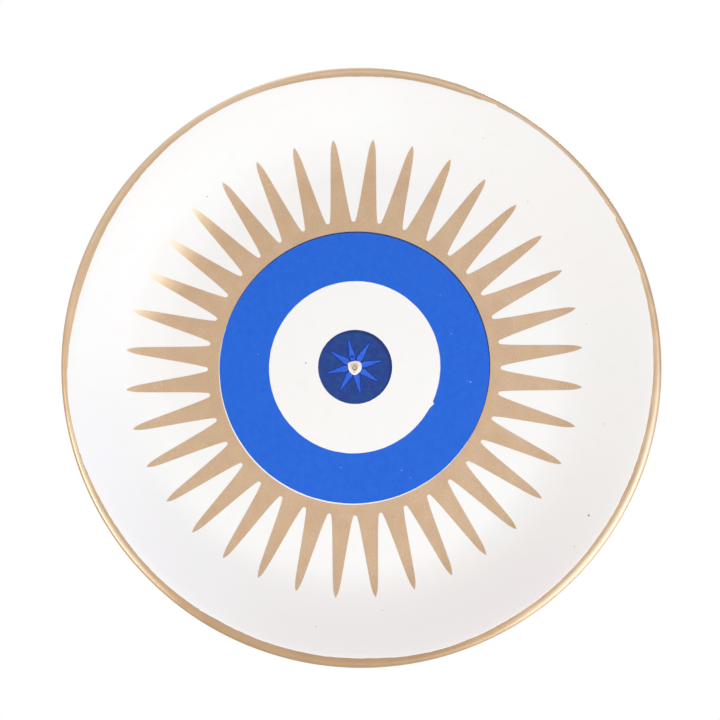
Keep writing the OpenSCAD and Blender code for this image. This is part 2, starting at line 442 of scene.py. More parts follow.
def gold_print():
    """Screen-printed gold ink: matt, with a fine metallic speckle and a painted glare on the upper
    left tips.
    """
    f = Finish("gold_print", specular=0.4)
    speckle = f.noise(0.75, 3, seed=1, rough=0.65)
    cloud = f.noise(9, 2, seed=2)
    tone = f.mix(f.spread(cloud, 0.35, 0.65), srgb(203, 170, 136), srgb(209, 177, 144))
    tone = f.mix(f.spread(speckle, 0.5, 0.72, 0, 0.5), tone, srgb(184, 150, 115))
    tone = f.mix(f.spread(speckle, 0.45, 0.3, 0, 0.5), tone, srgb(228, 200, 167))
    # Painted highlight: the ray tips at the upper left are paled towards cream and white, where
    # light glares off them.
    patch = f.near(EYE_X + PAINTED_GLARE_FAR * math.cos(PAINTED_GLARE_WAY), PAINTED_GLARE_FAR * math.sin(PAINTED_GLARE_WAY), y=-6)
    thin = f.spread(patch, 167, 145)
    tone = f.mix(f.spread(thin, 0.05, 0.6, 0, 0.9), tone, srgb(247, 217, 178))
    tone = f.mix(f.spread(thin, 0.45, 1.0, 0, 0.9), tone, srgb(249, 245, 230))
    f.paint(tone)
    f.metal(f.spread(speckle, 0.3, 0.7, 0.3, 0.12))
    f.roughness(f.spread(speckle, 0.3, 0.7, 0.32, 0.42))
    f.bump((speckle, 0.006), (f.noise(22, 1, seed=4), 0.05))
    return f


def blue_print():
    """Blue enamel ink with a faint mottle and a few pale specks."""
    f = Finish("blue_print", specular=0.2)
    mottle = f.noise(3.2, 5, seed=1, rough=0.7)
    fine = f.noise(0.9, 2, seed=2)
    tone = f.mix(f.spread(mottle, 0.35, 0.68), srgb(27, 96, 208), srgb(35, 102, 214))
    tone = f.mix(f.spread(fine, 0.5, 0.75, 0, 0.3), tone, srgb(56, 115, 220))
    f.paint(tone)
    f.roughness(f.spread(mottle, 0.3, 0.7, 0.34, 0.5))
    f.bump((fine, 0.004), (f.noise(22, 1, seed=4), 0.05))
    return f


def navy_print():
    """Navy ink, cloudy with teal and violet, and darker where it was laid on twice."""
    f = Finish("navy_print", specular=0.2)
    teal = f.noise(2.6, 3, seed=1)
    violet = f.noise(1.7, 3, seed=2)
    tone = f.mix(f.spread(teal, 0.42, 0.7), srgb(34, 61, 132), srgb(32, 75, 140))
    tone = f.mix(f.spread(violet, 0.56, 0.74, 0, 0.6), tone, srgb(52, 53, 131))
    radius = f.from_axis(EYE_X - 0.45, -0.35)
    tone = f.mix(f.spread(radius, 17.7, 18.2, 0, 0.55), tone, srgb(24, 38, 92))
    f.paint(tone)
    f.roughness(f.spread(teal, 0.3, 0.7, 0.34, 0.48))
    f.bump((violet, 0.004))
    return f


def star_blue():
    """Light blue of the star's rays."""
    f = Finish("star_blue", specular=0.2)
    mottle = f.noise(1.3, 3, seed=1)
    f.paint(f.mix(f.spread(mottle, 0.35, 0.65), srgb(31, 91, 210), srgb(53, 108, 220)))
    f.roughness(f.spread(mottle, 0.3, 0.7, 0.34, 0.46))
    f.bump((mottle, 0.004))
    return f


def overlap_ink():
    """The dark line where one ink runs over another."""
    f = Finish("overlap_ink", specular=0.2)
    mottle = f.noise(1.8, 3, seed=1)
    f.paint(f.mix(f.spread(mottle, 0.35, 0.65), srgb(20, 44, 112), srgb(52, 66, 104)))
    f.roughness(f.spread(mottle, 0.3, 0.7, 0.36, 0.5))
    f.bump((mottle, 0.004))
    return f


def star_edge():
    """Deep navy line round the star's rays."""
    f = Finish("star_edge", specular=0.2)
    mottle = f.noise(1.1, 3, seed=1)
    f.paint(f.mix(f.spread(mottle, 0.35, 0.65), srgb(14, 34, 122), srgb(24, 52, 150)))
    f.roughness(f.spread(mottle, 0.3, 0.7, 0.36, 0.5))
    f.bump((mottle, 0.004))
    return f


def rivet_alloy():
    """Soft aluminium of the rivet, lacquered beige and rubbed."""
    f = Finish("rivet_alloy")
    cloud = f.noise(1.2, 3, seed=1)
    tone = f.mix(f.spread(cloud, 0.35, 0.65), srgb(230, 208, 182), srgb(247, 231, 212))
    mouth = f.spread(f.from_axis(EYE_X, 0), MOUTH_R, MOUTH_R + 0.25)
    f.paint(f.mix(mouth, srgb(172, 166, 148), tone))
    f.metal(f.spread(cloud, 0.3, 0.7, 0.3, 0.6))
    f.roughness(f.spread(cloud, 0.3, 0.7, 0.32, 0.5))
    f.bump((f.noise(0.35, 2, seed=2), 0.01))
    return f


def zinc_steel(name, stretch=(1, 1, 1), bright=0):
    """Zinc-plated steel with drawn streaks and dull patches."""
    f = Finish(name)
    streak = f.noise(0.3, 3, stretch=stretch, seed=1)
    patch = f.noise(5, 3, seed=2)
    dull, shiny = srgb(138 + bright, 141 + bright, 142 + bright), srgb(192, 196, 198)
    tone = f.mix(f.spread(patch, 0.35, 0.65), dull, shiny)
    tone = f.mix(f.spread(streak, 0.5, 0.75, 0, 0.3), tone, srgb(104, 106, 106))
    f.paint(tone)
    f.metal(f.spread(patch, 0.3, 0.7, 0.85, 1.0))
    f.roughness(f.spread(streak, 0.3, 0.7, 0.26, 0.42))
    f.bump((streak, 0.004))
    return f


def chipped_white():
    """Broken edge of the white coat squeezed up round the rivet."""
    f = Finish("chipped_white", specular=0.3)
    grain = f.noise(0.5, 3, seed=1)
    f.paint(f.mix(f.spread(grain, 0.4, 0.65), srgb(250, 246, 248), srgb(240, 222, 222)))
    f.roughness(f.spread(grain, 0.3, 0.7, 0.4, 0.65))
    f.bump((grain, 0.03))
    return f


def grit():
    """Specks of grit fired into the white."""
    f = Finish("grit", specular=0.3)
    grain = f.noise(0.2, 2, seed=1)
    f.paint(f.mix(f.spread(grain, 0.4, 0.6), srgb(120, 104, 84), srgb(166, 150, 128)))
    f.roughness(f.spread(grain, 0.3, 0.7, 0.5, 0.7))
    f.bump((grain, 0.01))
    return f


def pale_dust():
    """Dust and pinholes in the blue, where the white shows faintly."""
    f = Finish("pale_dust", specular=0.3)
    grain = f.noise(0.3, 2, seed=1)
    f.paint(f.mix(f.spread(grain, 0.4, 0.6), srgb(92, 138, 232), srgb(150, 180, 240)))
    f.roughness(f.spread(grain, 0.3, 0.7, 0.4, 0.6))
    f.bump((grain, 0.01))
    return f


def smear_ink():
    """Small smear of violet ink over the star."""
    f = Finish("smear_ink", specular=0.3)
    grain = f.noise(0.5, 2, seed=1)
    f.paint(f.mix(f.spread(grain, 0.42, 0.62), srgb(14, 38, 150), srgb(36, 54, 186)))
    f.roughness(f.spread(grain, 0.3, 0.7, 0.36, 0.55))
    f.bump((grain, 0.01))
    return f


def broken_pin():
    """Torn end of the rivet's pin: dull, pale and greenish, with dark pits."""
    f = Finish("broken_pin")
    patch = f.noise(0.9, 3, seed=1)
    pits = f.spots(0.7, 0.4, 0.5, seed=2)
    tone = f.mix(f.spread(patch, 0.38, 0.62), srgb(150, 148, 130), srgb(212, 214, 202))
    f.paint(f.mix(f.product(pits, 0.6), tone, srgb(104, 98, 84)))
    f.metal(f.spread(patch, 0.3, 0.7, 0.35, 0.6))
    f.roughness(f.spread(patch, 0.3, 0.7, 0.5, 0.36))
    f.bump((patch, 0.03))
    return f


def pad_rubber():
    """Dark moulded rubber with a fine grain and a little dust."""
    f = Finish("pad_rubber", specular=0.35)
    grain = f.noise(0.35, 3, seed=1)
    dust = f.noise(2.4, 3, seed=2)
    tone = f.mix(f.spread(dust, 0.5, 0.75, 0, 0.35), srgb(44, 44, 46), srgb(96, 92, 86))
    f.paint(tone)
    f.roughness(f.spread(grain, 0.3, 0.7, 0.58, 0.78))
    f.bump((grain, 0.03))
    return f


# ---------------------------------------------------------------------------------------------
# Dish and white coat
# ---------------------------------------------------------------------------------------------

DISH_COUNT = 480
COAT_COUNT = 1440


def moved_to_eye(r):
    """How far a ring of radius r is shifted, so that the innermost ones go round the rivet."""
    return EYE_X * np.clip((40 - r) / (40 - HOLE_R), 0, 1)


def sheet_stations():
    """Radii at which the sheet is sampled between the rivet hole and the roll."""
    flat = [HOLE_R, 5, 12, 22, 34, 46, 58, 70, 80, 88, FLAT_R]
    bend = [FLAT_R + CORNER_R * math.sin(SLOPE * k / 8) for k in range(1, 9)]
    slope = np.linspace(BEND_R, MEET_R, 7)[1:]
    return [*flat, *bend, *slope]


def build_dish():
    """The pressed sheet with its edge rolled over the wire, as one closed skin."""
    angles = circle_angles(DISH_COUNT)
    wander = ragged(angles, 0.5, 11, range(3, 26)) - 0.5

    def sheet_ring(r, lift):
        """A ring on the sheet, lift over its front face and square to it."""
        t = float(tilt(r))
        ring_r = r - lift * math.sin(t)
        flat = polar(angles, ring_r, (moved_to_eye(r), 0))
        z = FRONT_Z + rise(r) + lift * math.cos(t) + press_wave(flat[:, 0], flat[:, 1])
        return np.column_stack([flat, z])

    def roll_ring(angle, radius):
        """A ring on the roll, drawn in a little so that it never passes the plate's size."""
        grow = radius - 0.03 + 0.06 * wander * (radius / ROLL_R)
        r = ROLL_X + grow * math.cos(angle)
        z = ROLL_Z + grow * math.sin(angle)
        return np.column_stack([polar(angles, r), z])

    start = math.pi / 2 + SLOPE
    sweep = np.linspace(start, ROLL_WRAP - TURN, 44)
    lip = arc((0, 0), 1, 0, 180, 5)[1:-1]
    inner_r = ROLL_R - SHEET_T
    rings = [sheet_ring(r, 0) for r in sheet_stations()]
    rings += [roll_ring(a, ROLL_R) for a in sweep[1:]]
    for x, y in lip:
        middle_r = (ROLL_R + inner_r) / 2
        rings.append(roll_ring(sweep[-1] - y * 0.2, middle_r + x * SHEET_T / 2))
    rings += [roll_ring(a, inner_r) for a in sweep[::-2]]
    rings += [sheet_ring(r, -SHEET_T) for r in sheet_stations()[::-1]]
    return loft("dish_shell", rings, joined=True, sharp=50)


# The white coat stops short of the rim, by hand, so the bare gold is wider in some places than in
# others: (direction in degrees, width in millimetres) where it is widest and narrowest
BARE_WIDTHS = (
    (28, 3.2),
    (45, 2.4),
    (58, 2.6),
    (74, 4.1),
    (90, 4.4),
    (120, 3.1),
    (161, 4.9),
    (187, 2.8),
    (215, 4.3),
    (225, 4.3),
    (242, 5.0),
    (270, 4.9),
    (285, 4.0),
    (302, 4.5),
    (338, 4.9),
)
# Laps where the mask was moved: (direction in degrees, step in millimetres, length in degrees)
BARE_LAPS = (
    (18.5, 0.35, 5),
    (30.5, 0.7, 3.5),
    (34.3, 0.35, 1.8),
    (62.5, 0.5, 4),
    (236, 0.4, 3),
)
# The coat's rounded lip
COAT_LIP_W = 0.35
COAT_LIP_T = 0.26
COAT_EVEN_R = 140


def all_round(stations):
    """Angles and values of (degrees, value) stations, with one more at each end to go round."""
    (first, first_value), (last, last_value) = stations[0], stations[-1]
    closed = [(last - 360, last_value), *stations, (first + 360, first_value)]
    places, values = np.transpose(closed)
    return np.radians(places), values


def eased_round(angles, stations):
    """Value that eases round the circle from each station to the next."""
    places, values = all_round(stations)
    index = np.interp(angles % TURN, places, np.arange(len(places)))
    last = np.minimum(index.astype(int), len(places) - 2)
    share = 0.5 - 0.5 * np.cos(math.pi * (index - last))
    return values[last] + (values[last + 1] - values[last]) * share


def coat_edge(angles):
    """Radius at which the white coat ends."""
    bare = eased_round(angles, BARE_WIDTHS)
    for where, step, length in BARE_LAPS:
        past = np.degrees((angles - math.radians(where)) % TURN)
        bare -= np.where(past < length, step * (1 - past / length), 0)
    bare += ragged(angles, 0.16, 5, range(20, 200))
    return np.minimum(PLATE_R - bare, MEET_R + 0.1)


def build_coat():
    """White enamel on the hollow side, thinning to a rounded lip along its hand-masked edge."""
    angles = circle_angles(COAT_COUNT)
    edge = coat_edge(angles)
    even = [(np.full(COAT_COUNT, r), COAT_T) for r in sheet_stations() if r < COAT_EVEN_R]
    thinning = []
    for share in (0.5, 1):
        r = COAT_EVEN_R + (edge - COAT_LIP_W - COAT_EVEN_R) * share
        thinning.append((r, COAT_T + (COAT_LIP_T - COAT_T) * share**2))
    lip = []
    for a in np.radians([30, 55, 75, 90]):
        lip.append((edge - COAT_LIP_W * (1 - math.sin(a)), COAT_LIP_T * math.cos(a)))

    def ring(r, lift):
        """A ring of the coat. It thins out where it would climb over the roll's crest."""
        flat = polar(angles, r, (moved_to_eye(np.min(r)), 0))
        z = surface_z(flat[:, 0], flat[:, 1], lift)
        return np.column_stack([flat, np.minimum(z, ROLL_Z + ROLL_R - 0.02)])

    whole = even + thinning
    under = [(r, -0.02) for r, _ in whole[::-1]]
    rings = [ring(r, lift) for r, lift in whole + lip + under]
    return loft("enamel_coat", rings, joined=True, sharp=60)


# Specks of grit in the white, round the plate's middle: (direction in degrees, radius, size)
GRIT = (
    (132, 115.5, 0.7),
    (175, 28, 0.8),
    (327, 135.5, 1.1),
    (62, 130, 0.45),
    (45, 118, 0.5),
    (11, 115, 0.5),
    (347, 125, 0.5),
    (320, 139, 0.55),
    (260, 131.5, 0.5),
    (275, 122, 0.45),
)
# Pinholes and dust in the blue, and a blot in the navy, round the middle of the eye
PALE_DUST = (
    (-7, 58.5, 0.9),
    (-6.5, 57, 0.5),
    (-65.5, 56.5, 0.7),
    (-63, 62, 0.6),
    (262, 50.5, 0.6),
    (40.5, 56.5, 0.5),
    (19.5, 51.5, 0.6),
    (118, 60.5, 0.45),
    (172, 49, 0.5),
)
NAVY_BLOT = ((-48, 13, 1.3),)


def build_spots(name, spots, centre, base, height, seed):
    """Low irregular bumps, all in one object, each a small closed stack of rings."""
    count = 12
    angles = circle_angles(count)
    points, faces = [], []
    for i, (direction, radius, size) in enumerate(spots):
        x = centre[0] + radius * math.cos(math.radians(direction))
        y = centre[1] + radius * math.sin(math.radians(direction))
        shape = size / 2 * (1 + ragged(angles, 0.3, seed + i, range(2, 5)))
        first = len(points)
        for share, lift in ((0.4, base + height), (0.8, base + height * 0.6), (1.0, base - 0.02)):
            flat = polar(angles, shape * share, (x, y))
            points.extend(np.column_stack([flat, surface_z(flat[:, 0], flat[:, 1], lift)]))
        faces.extend(grid_quads(3, count, first, column_loop=True))
        faces.append(tuple(range(first, first + count)))
        faces.append(tuple(range(first + 2 * count, first + 3 * count))[::-1])
    return add_mesh(name, points, faces, sharp=80)


# ---------------------------------------------------------------------------------------------
# The printed eye and sunburst
# ---------------------------------------------------------------------------------------------

EYE = np.array([EYE_X, 0.0])
IRIS_R = 68.1
WHITE_R = 43.1
PUPIL_R = 18.6
STRETCH = 0.0075
STRETCH_ANGLE = math.radians(55)
# Each colour is a little out of register: the middle of each print
IRIS_MIDDLE = EYE + (0.02, 0.1)
WHITE_MIDDLE = EYE + (-0.07, 0.24)
PUPIL_MIDDLE = EYE + (0.15, 0.41)
STAR_MIDDLE = EYE + (-0.1, 0.64)
GOLD_MIDDLE = EYE + (-0.25, -0.43)
# Direction in degrees in which the blue runs furthest over the gold
LAP_ANGLE = 65

RAY_COUNT = 36
RAY_TURN = math.radians(5.3)
RAY_TIP_R = 115.0
RAY_VALLEY_R = 73.5
RAY_LEN = RAY_TIP_R - RAY_VALLEY_R
RAY_POINTS = 22


def oval(angles, radius, stretch=STRETCH):
    """The prints are a touch longer along one direction, as pulled by the squeegee."""
    return radius * (1 + stretch * np.cos(2 * (angles - STRETCH_ANGLE)))


def ray_half_width(s):
    """Half width of a gold ray at distance s from its tip: round tip, taper, flared root."""
    return (2.66 * (1 - np.exp(-s / 2.4)) + 0.181 * s + 1.1 * np.exp((s - RAY_LEN) / 3.5)) / 2


def sunburst_outline():
    """Outline of the 36 rays round the eye, the same number of points on every flank."""
    pitch = TURN / RAY_COUNT
    s = RAY_LEN * (1 - np.cos(np.linspace(0, math.pi, RAY_POINTS + 1)))[1:-1] / 2
    outline = []
    for k in range(RAY_COUNT):
        turn = RAY_TURN + k * pitch
        right = np.column_stack([RAY_TIP_R - s, -ray_half_width(s)])[::-1]
        left = right[::-1] * (1, -1)
        valley = RAY_VALLEY_R * np.array([[math.cos(pitch / 2), -math.sin(pitch / 2)]])
        ray = np.vstack([valley, right, [[RAY_TIP_R, 0]], left])
        c, n = math.cos(turn), math.sin(turn)
        outline.append(ray @ np.array([[c, n], [-n, c]]))
    return np.vstack(outline)


def build_sunburst():
    """Gold print. It runs in under the blue, and its hole is a little out of register."""
    outline = sunburst_outline()
    count = len(outline)
    angles = RAY_TURN - math.pi / RAY_COUNT + circle_angles(count)
    outline *= oval(angles, 1 + ragged(angles, 0.0006, 21, range(30, 300)), 0.005)[:, None]
    hole = polar(angles, oval(angles, IRIS_R + 0.1) + ragged(angles, 0.05, 22))
    return ink_ring("sunburst_print", hole + GOLD_MIDDLE, outline + GOLD_MIDDLE, 18)


NICK_ANGLE = math.radians(-24.6)


def iris_edges(angles):
    """Inner and outer radius of the blue, the inner one with the nick at its lower right."""
    past_nick = np.degrees((angles - NICK_ANGLE + math.pi) % TURN - math.pi)
    nick = np.exp(-((past_nick / np.where(past_nick > 0, 0.7, 2.6)) ** 2))
    inner = oval(angles, WHITE_R) + ragged(angles, 0.06, 23) + nick
    outer = oval(angles, IRIS_R) + ragged(angles, 0.05, 24)
    return inner, outer


def build_iris():
    """Blue print round the white of the eye."""
    angles = circle_angles(1080)
    inner, outer = iris_edges(angles)
    inner_edge = polar(angles, inner, WHITE_MIDDLE)
    outer_edge = polar(angles, outer, IRIS_MIDDLE)
    return ink_ring("iris_print", inner_edge, outer_edge, 7)


def build_overprint():
    """Dark crescent where the blue runs over the gold, opposite the bare white gap."""
    reach = 98
    turns = np.linspace(-reach, reach, 320)
    angles = np.radians(LAP_ANGLE + turns)
    blue_r = oval(angles, IRIS_R) + 0.05
    width = 0.04 + 0.72 * np.abs(np.cos(np.radians(turns) * 90 / reach)) ** 0.7
    blue = polar(angles, blue_r, IRIS_MIDDLE)
    hole = polar(angles, blue_r - width, IRIS_MIDDLE)
    patch = np.stack([hole, (hole + blue) / 2, blue], axis=1)[::-1]
    return ink_patches("overprint_line", [patch], COAT_T + INK_T + 0.02)


def build_pupil():
    """Navy print from the rivet hole out."""
    angles = circle_angles(360)
    inner = polar(angles, np.full_like(angles, HOLE_R), EYE)
    outer = polar(angles, oval(angles, PUPIL_R, 0.002) + ragged(angles, 0.05, 25), PUPIL_MIDDLE)
    return ink_ring("pupil_print", inner, outer, 6)


STAR_RAYS = 8
STAR_TURN = 12.3
STAR_TIP_R = 13.75
STAR_ROOT_R = 3.1


def star_patch(direction, extra, length):
    """One ray of the star: narrow at the rivet, widest a third of the way out, cut-off tip."""
    along = np.array([STAR_ROOT_R, 4.3, 5.1, 6.5, 8.5, 10.5, 12.2, length + extra * 0.6])
    half = np.array([0.7, 1.3, 1.5, 1.3, 0.98, 0.68, 0.42, 0.24]) + extra
    c, n = math.cos(direction), math.sin(direction)
    rows = []
    for x, w in zip(along, half):
        rows.append([STAR_MIDDLE + (x * c - y * n, x * n + y * c) for y in np.linspace(-w, w, 5)])
    return np.array(rows)


def build_star():
    """The eight light rays, and the deep blue line that shows round each of them."""
    random = np.random.default_rng(31)
    rays, edges = [], []
    for k in range(STAR_RAYS):
        direction = math.radians(STAR_TURN + 45 * k + random.normal(0, 0.8))
        length = STAR_TIP_R + random.uniform(-0.25, 0.25)
        rays.append(star_patch(direction, 0.0, length))
        edges.append(star_patch(direction, 0.42, length))
    top = COAT_T + INK_T
    return ink_patches("star_rays", rays, top + 0.04), ink_patches("star_edges", edges, top + 0.02)


def build_smear():
    """A bean of dark ink over the root of the top ray, with a short tail to the rivet."""
    count = 24
    bend_r = 0.75
    turns = np.radians(np.linspace(-20, 200, count))
    middle = EYE + (-1.3, 4.95)
    width = 0.12 + 0.5 * np.sin(np.linspace(0, math.pi, count)) ** 0.8
    inner = polar(turns, bend_r - width, middle)
    outer = polar(turns, bend_r + width, middle)
    patch = np.stack([inner, (inner + outer) / 2, outer], axis=1)[::-1]
    return ink_patches("ink_smear", [patch], COAT_T + INK_T + 0.06)


# ---------------------------------------------------------------------------------------------
# Rivet, washer, hanger, ring and pads
# ---------------------------------------------------------------------------------------------

FLANGE_R = 3.2
FLANGE_TOP = cad_box("rivet_body")[1][2]
DOME_R = 7.2
MOUTH_R = 1.25
MOUTH_DEPTH = 0.45
SHANK_R = 1.6
PIN_R = 0.9
BORE_R = 0.95
BULGE_R = 0.9
BLIND_Z = WASHER_LOW[2]
SHANK_END = BLIND_Z - 3.0
PIN_HEAD_R = 1.4
# The pin's torn end, from its edge in: (share of its radius, depth, roughness)
PIN_BREAK = ((0.96, 0.03, 0.02), (0.7, 0.0, 0.05), (0.42, 0.09, 0.06), (0.2, 0.03, 0.03))
INK_Z = FRONT_Z + COAT_T + INK_T
# Corners of the cracked coat round the flange: (direction in degrees, radius)
COLLAR_CORNERS = (
    (12, 3.6),
    (43, 4.0),
    (75, 3.6),
    (100, 3.4),
    (125, 3.7),
    (148, 4.2),
    (170, 3.5),
    (194, 3.3),
    (230, 3.3),
    (265, 3.7),
    (300, 3.3),
    (340, 3.3),
)


def dome_z(r):
    """Height of the flange's dome at radius r."""
    return FLANGE_TOP + 0.08 - DOME_R + math.sqrt(DOME_R**2 - r**2)


def build_rivet():
    """Domed flange, shank and the bulge that grips behind the washer, as one closed skin."""
    mouth_z = FLANGE_TOP - MOUTH_DEPTH
    profile = [(BORE_R, mouth_z), (MOUTH_R - 0.06, mouth_z), (MOUTH_R, mouth_z + 0.06)]
    profile += arc((MOUTH_R + 0.12, dome_z(MOUTH_R + 0.12) - 0.12), 0.12, 180, 90, 4)
    profile += [(r, dome_z(r)) for r in (1.6, 2.0, 2.4, 2.8, 3.05)]
    profile += arc((FLANGE_R - 0.12, dome_z(3.05) - 0.12), 0.12, 60, -60, 5)
    profile += [(FLANGE_R - 0.12, INK_Z - 0.02), (SHANK_R, INK_Z - 0.02)]
    profile += [(SHANK_R, BLIND_Z)]
    profile += arc((SHANK_R, BLIND_Z - BULGE_R), BULGE_R, 80, -80, 12)
    profile += [(SHANK_R, SHANK_END + 0.15), (SHANK_R - 0.15, SHANK_END), (BORE_R, SHANK_END)]
    return revolve("rivet_flange", profile[::-1], EYE)


def build_pin():
    """Pulled-off pin: a rough broken end in the flange and a round head at the back."""
    angles = circle_angles(48)
    top = FLANGE_TOP - 0.25
    rings = []
    for a in np.radians([8, 20, 35, 50, 65, 80, 90]):
        z = SHANK_END - PIN_HEAD_R * math.cos(a)
        rings.append(level_ring(angles, PIN_HEAD_R * math.sin(a), EYE, z))
    for z in (SHANK_END, top - 0.12):
        rings.append(level_ring(angles, PIN_R, EYE, z))
    for share, drop, rough in PIN_BREAK:
        wander = top - drop + ragged(angles, rough, 50 + int(share * 10), range(2, 7))
        rings.append(np.column_stack([polar(angles, PIN_R * share, EYE), wander]))
    return loft("rivet_pin", rings, capped=True, sharp=50)


def build_collar():
    """White coat that cracked and squeezed up round the flange, with an angular outline."""
    count = 120
    angles = circle_angles(count)
    outer = np.interp(angles, *all_round(COLLAR_CORNERS)) + ragged(angles, 0.05, 61)
    inner = 2.5 + ragged(angles, 0.14, 62, range(2, 20))
    rows = [
        (outer, np.full(count, INK_Z - 0.03)),
        (outer - 0.04, np.full(count, INK_Z + 0.14)),
        (outer - 0.1, INK_Z + 0.3 + ragged(angles, 0.06, 63)),
        (np.full(count, FLANGE_R - 0.1), INK_Z + 0.55 + ragged(angles, 0.04, 64)),
        (inner + 0.12, np.full(count, dome_z(2.6) + 0.07)),
        (inner, np.full(count, dome_z(2.5) - 0.03)),
        (inner, np.full(count, INK_Z + 0.05)),
    ]
    rings = [np.column_stack([polar(angles, r, EYE), z]) for r, z in rows[::-1]]
    return loft("chipped_collar", rings, joined=True, sharp=70)


def build_washer():
    """Stamped washer: rolled-over edge on one side, small burr on the other."""
    low, high = WASHER_LOW[2], WASHER_HIGH[2]
    radius = (WASHER_HIGH[0] - WASHER_LOW[0]) / 2
    profile = [(HOLE_R, high - 0.05), (HOLE_R + 0.05, high)]
    profile += [(radius - 0.08, high), (radius, high - 0.08)]
    profile += arc((radius - 0.3, low + 0.3), 0.3, 0, -90, 6)
    profile += [(HOLE_R + 0.15, low), (HOLE_R, low + 0.15)]
    return revolve("back_washer", profile[::-1], EYE)


def rounded_section(half_width, half_height, corner, steps=4):
    """Outline of a rounded rectangle, as (across, over) pairs."""
    corner = min(corner, half_width * 0.9)
    section = []
    for cx, cy, start in ((1, 1, 0), (-1, 1, 90), (-1, -1, 180), (1, -1, 270)):
        middle = (cx * (half_width - corner), cy * (half_height - corner))
        section += arc(middle, corner, start, start + 90, steps)
    return np.array(section)


STRAP_W = STRAP_HIGH[0] - STRAP_LOW[0]
STRAP_T = 1.2
KNUCKLE_R = 2.5
KNUCKLE_Y = STRAP_HIGH[1] - KNUCKLE_R
KNUCKLE_Z = STRAP_HIGH[2] - KNUCKLE_R
CURL_END = -190


def build_strap():
    """Hanger strap: round end under the rivet, straight run, and the curl round the ring."""
    half_w, half_t = STRAP_W / 2, STRAP_T / 2
    flat_z = STRAP_HIGH[2] - half_t
    stations = []
    for a in np.radians(np.linspace(4, 90, 12)):
        stations.append((-half_w * math.cos(a), flat_z, half_w * math.sin(a), 90))
    for y in np.linspace(0, KNUCKLE_Y, 12)[1:]:
        stations.append((y, flat_z, half_w, 90))
    middle_r = KNUCKLE_R - half_t
    for a in np.linspace(90, CURL_END, 40)[1:]:
        y = KNUCKLE_Y + middle_r * math.cos(math.radians(a))
        z = KNUCKLE_Z + middle_r * math.sin(math.radians(a))
        stations.append((y, z, half_w, a))
    rings = []
    for y, z, width, facing in stations:
        section = rounded_section(width, half_t, 0.28)
        up, out = math.cos(math.radians(facing)), math.sin(math.radians(facing))
        x = EYE_X + section[:, 0]
        rings.append(np.column_stack([x, y + section[:, 1] * up, z + section[:, 1] * out]))
    return loft("hanger", rings, capped=True, sharp=50)


RING_WIRE_R = 1.2
RING_HALF_W = 13.0
RING_BEND_R = 3.0
RING_ARM = 4.0


def build_ring():
    """D-shaped wire ring. Its straight bar lies in the strap's curl."""
    bar = RING_HALF_W - RING_BEND_R
    arm_end = -RING_BEND_R - RING_ARM
    line = [(x, 0.0) for x in np.linspace(-bar, bar, 14)[:-1]]
    line += arc((bar, -RING_BEND_R), RING_BEND_R, 90, 0, 12)
    line += [(RING_HALF_W, -RING_BEND_R - RING_ARM * t) for t in (0.33, 0.66)]
    line += arc((0, arm_end), RING_HALF_W, 0, -180, 60)
    line += [(-RING_HALF_W, arm_end + RING_ARM * t) for t in (0.33, 0.66)]
    line += arc((-bar, -RING_BEND_R), RING_BEND_R, 180, 90, 12)[:-1]
    line = np.array(line)
    ahead = np.roll(line, -1, axis=0) - np.roll(line, 1, axis=0)
    ahead /= np.linalg.norm(ahead, axis=1)[:, None]
    angles = circle_angles(28)
    rings = []
    for (x, y), (dx, dy) in zip(line, ahead):
        across = RING_WIRE_R * np.cos(angles)
        ring_x = EYE_X + x - dy * across
        ring_y = KNUCKLE_Y + y + dx * across
        ring_z = KNUCKLE_Z + RING_WIRE_R * np.sin(angles)
        rings.append(np.column_stack([ring_x, ring_y, ring_z]))
    return loft("wire_ring", rings, joined=True)


PAD_RING_R = 70.0
PAD_TOP_R = 7.0
PAD_FOOT_R = 8.0
PAD_EDGE_R = 1.5


def build_pads():
    """Four moulded rubber pads with a gate mark in each face, in one object."""
    count = 72
    profile = [(0.5, WALL_Z + 0.35), (1.0, WALL_Z + 0.3), (1.25, WALL_Z + 0.05), (1.4, WALL_Z)]
    profile += [(PAD_TOP_R - PAD_EDGE_R, WALL_Z)]
    profile += arc((PAD_TOP_R - PAD_EDGE_R, WALL_Z + PAD_EDGE_R), PAD_EDGE_R, -80, 0, 8)
    profile += [(PAD_FOOT_R - 0.1, BACK_Z - 0.5), (PAD_FOOT_R, BACK_Z - 0.3), (PAD_FOOT_R, BACK_Z)]
    angles = circle_angles(count)
    points, faces = [], []
    rows = len(profile)
    for k in range(4):
        direction = math.radians(45 + 90 * k)
        centre = (PAD_RING_R * math.cos(direction), PAD_RING_R * math.sin(direction))
        first = len(points)
        for r, z in profile:
            points.extend(level_ring(angles, r, centre, z))
        faces.extend(grid_quads(rows, count, first, column_loop=True))
        last = first + (rows - 1) * count
        faces.append(tuple(range(first, first + count)))
        faces.append(tuple(range(last, last + count))[::-1])
    faces = [f[::-1] for f in faces]
    return add_mesh("rubber_pads", points, faces, sharp=50)


# ---------------------------------------------------------------------------------------------
# Pieces, their bodies, finishes and the CAD nodes that they stand for
# ---------------------------------------------------------------------------------------------


def place(piece, finish, slot, body="plate", *nodes):
    """Paints a piece, puts it on its body and hides the CAD nodes that it stands for. slot is not
    used.
    """
    finish.on(piece)
    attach(piece, body)
    if nodes:
        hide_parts(*nodes)


lacquer = gold_lacquer()
white = white_enamel()
blue = blue_print()
navy = navy_print()
overlap = overlap_ink()
steel = zinc_steel("zinc_steel")
strap_steel = zinc_steel("strap_steel", stretch=(1, 1, 30))
wire_steel = zinc_steel("wire_steel", stretch=(6, 1, 6), bright=12)

